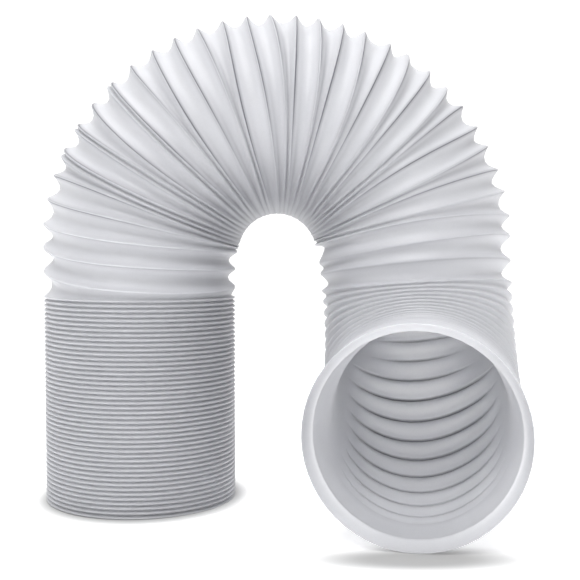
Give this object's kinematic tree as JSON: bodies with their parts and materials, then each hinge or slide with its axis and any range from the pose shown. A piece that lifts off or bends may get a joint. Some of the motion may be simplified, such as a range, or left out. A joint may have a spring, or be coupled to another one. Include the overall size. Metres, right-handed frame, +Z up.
{
  "type": "air conditioner exhaust hose",
  "caption": "Flexible pleated plastic duct stood in an arch, one leg squeezed short, the other turned forward to an open flared mouth.",
  "frame": {"origin": "on the floor, under the middle of the hose's footprint", "axes": "+Z up, +X from the squeezed leg towards the leg with the mouth, and the mouth faces -Y, turned a little towards -X"},
  "size_m": [0.369, 0.2392, 0.379],
  "materials": {
    "white_polypropylene": "satin"
  },
  "bodies": {
    "root": {"exhaust_hose": "white_polypropylene"}
  },
  "joints": []
}
